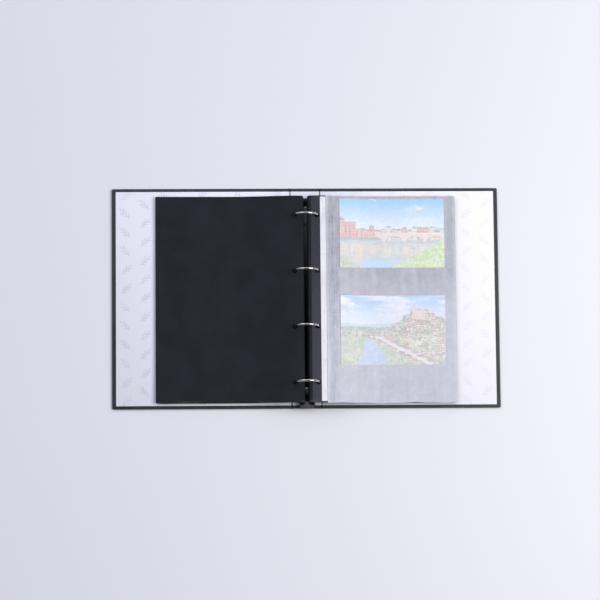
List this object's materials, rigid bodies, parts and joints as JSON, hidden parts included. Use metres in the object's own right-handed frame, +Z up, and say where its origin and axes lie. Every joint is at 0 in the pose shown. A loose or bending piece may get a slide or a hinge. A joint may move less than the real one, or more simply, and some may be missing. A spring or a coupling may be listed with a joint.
{
  "type": "ring binder album",
  "caption": "Ring-binder album lying open, with punched black card leaves, glassine interleaves, two mounted prints and a lever ring mechanism.",
  "frame": {"origin": "centre of the open album's footprint, on the surface it lies on", "axes": "+X across the open album from the front cover to the back cover, +Y towards the head of the pages, +Z up"},
  "size_m": [0.552, 0.317, 0.039],
  "materials": {
    "grey_board": "matte",
    "black_leatherette": "satin",
    "white_endpaper": "matte",
    "nickel_plate": "polished",
    "lever_metal": "satin",
    "black_card": "matte",
    "glassine": "satin",
    "glued_glassine": "satin",
    "photo_print": "glossy"
  },
  "bodies": {
    "spine": {"spine_board": "grey_board", "spine_cloth": "black_leatherette", "spine_lining": "white_endpaper", "mechanism_shell": "nickel_plate", "mounting_rivets": "nickel_plate", "rivet_flanges": "nickel_plate", "lever_pin": "nickel_plate"},
    "front_cover": {"front_board": "grey_board", "front_cover_cloth": "black_leatherette", "front_endpaper": "white_endpaper", "front_hinge_cloth": "black_leatherette", "front_hinge_lining": "white_endpaper"},
    "back_cover": {"back_board": "grey_board", "back_cover_cloth": "black_leatherette", "back_endpaper": "white_endpaper", "back_hinge_cloth": "black_leatherette", "back_hinge_lining": "white_endpaper"},
    "left_rings": {"left_hinge_plate": "nickel_plate", "left_ring_half_1": "nickel_plate", "left_ring_half_2": "nickel_plate", "left_ring_half_3": "nickel_plate", "left_ring_half_4": "nickel_plate"},
    "right_rings": {"right_hinge_plate": "nickel_plate", "right_ring_half_1": "nickel_plate", "right_ring_half_2": "nickel_plate", "right_ring_half_3": "nickel_plate", "right_ring_half_4": "nickel_plate"},
    "lever": {"lever": "lever_metal"},
    "left_leaves": {"left_interleaf_1": "glassine", "left_leaf_1": "black_card", "left_interleaf_2": "glassine", "left_leaf_2": "black_card", "left_interleaf_3": "glassine", "left_leaf_3": "black_card", "left_interleaf_4": "glassine", "left_leaf_4": "black_card"},
    "right_leaves": {"right_leaf_1": "black_card", "right_interleaf_1": "glassine", "right_leaf_2": "black_card", "right_interleaf_2": "glassine", "right_leaf_3": "black_card", "right_interleaf_3": "glassine", "right_leaf_4": "black_card", "right_interleaf_4": "glassine"},
    "top_leaf": {"top_leaf": "black_card", "upper_print": "photo_print", "lower_print": "photo_print", "glue_strip": "glued_glassine"},
    "interleaf": {"top_interleaf": "glassine"}
  },
  "joints": [
    {"name": "front_cover_hinge", "type": "hinge", "parent": "spine", "child": "front_cover", "pos_m": [-0.0212, 0, 0.00015], "axis": [0, -1, 0], "range_deg": [-90, 0], "deforming": ["front_hinge_cloth", "front_hinge_lining"]},
    {"name": "back_cover_hinge", "type": "hinge", "parent": "spine", "child": "back_cover", "pos_m": [0.0212, 0, 0.00015], "axis": [0, 1, 0], "range_deg": [-90, 0], "deforming": ["back_hinge_cloth", "back_hinge_lining"]},
    {"name": "left_leaves_turn", "type": "hinge", "parent": "spine", "child": "left_leaves", "pos_m": [0, 0, 0.021], "axis": [0, -1, 0], "range_deg": [-90, 0]},
    {"name": "right_leaves_turn", "type": "hinge", "parent": "spine", "child": "right_leaves", "pos_m": [0, 0, 0.021], "axis": [0, 1, 0], "range_deg": [-90, 0]},
    {"name": "top_leaf_turn", "type": "hinge", "parent": "right_leaves", "child": "top_leaf", "pos_m": [0, 0, 0.021], "axis": [0, -1, 0], "range_deg": [0, 115]},
    {"name": "interleaf_lift", "type": "hinge", "parent": "top_leaf", "child": "interleaf", "pos_m": [0.0292, 0, 0.01655], "axis": [0, -1, 0], "range_deg": [0, 55]},
    {"name": "lever_press", "type": "hinge", "parent": "spine", "child": "lever", "pos_m": [0, -0.1451, 0.0068], "axis": [1, 0, 0], "range_deg": [0, 16]},
    {"name": "left_ring_opening", "type": "hinge", "parent": "spine", "child": "left_rings", "pos_m": [-0.0087, 0, 0.0056], "axis": [0, -1, 0], "range_deg": [0, 10]},
    {"name": "right_ring_opening", "type": "hinge", "parent": "spine", "child": "right_rings", "pos_m": [0.0087, 0, 0.0056], "axis": [0, 1, 0], "range_deg": [0, 10]}
  ],
  "couplings": [
    {"joint": "left_leaves_turn", "follows": "front_cover_hinge", "ratio": 1},
    {"joint": "right_leaves_turn", "follows": "back_cover_hinge", "ratio": 1},
    {"joint": "left_ring_opening", "follows": "lever_press", "ratio": 0.625},
    {"joint": "right_ring_opening", "follows": "lever_press", "ratio": 0.625}
  ]
}
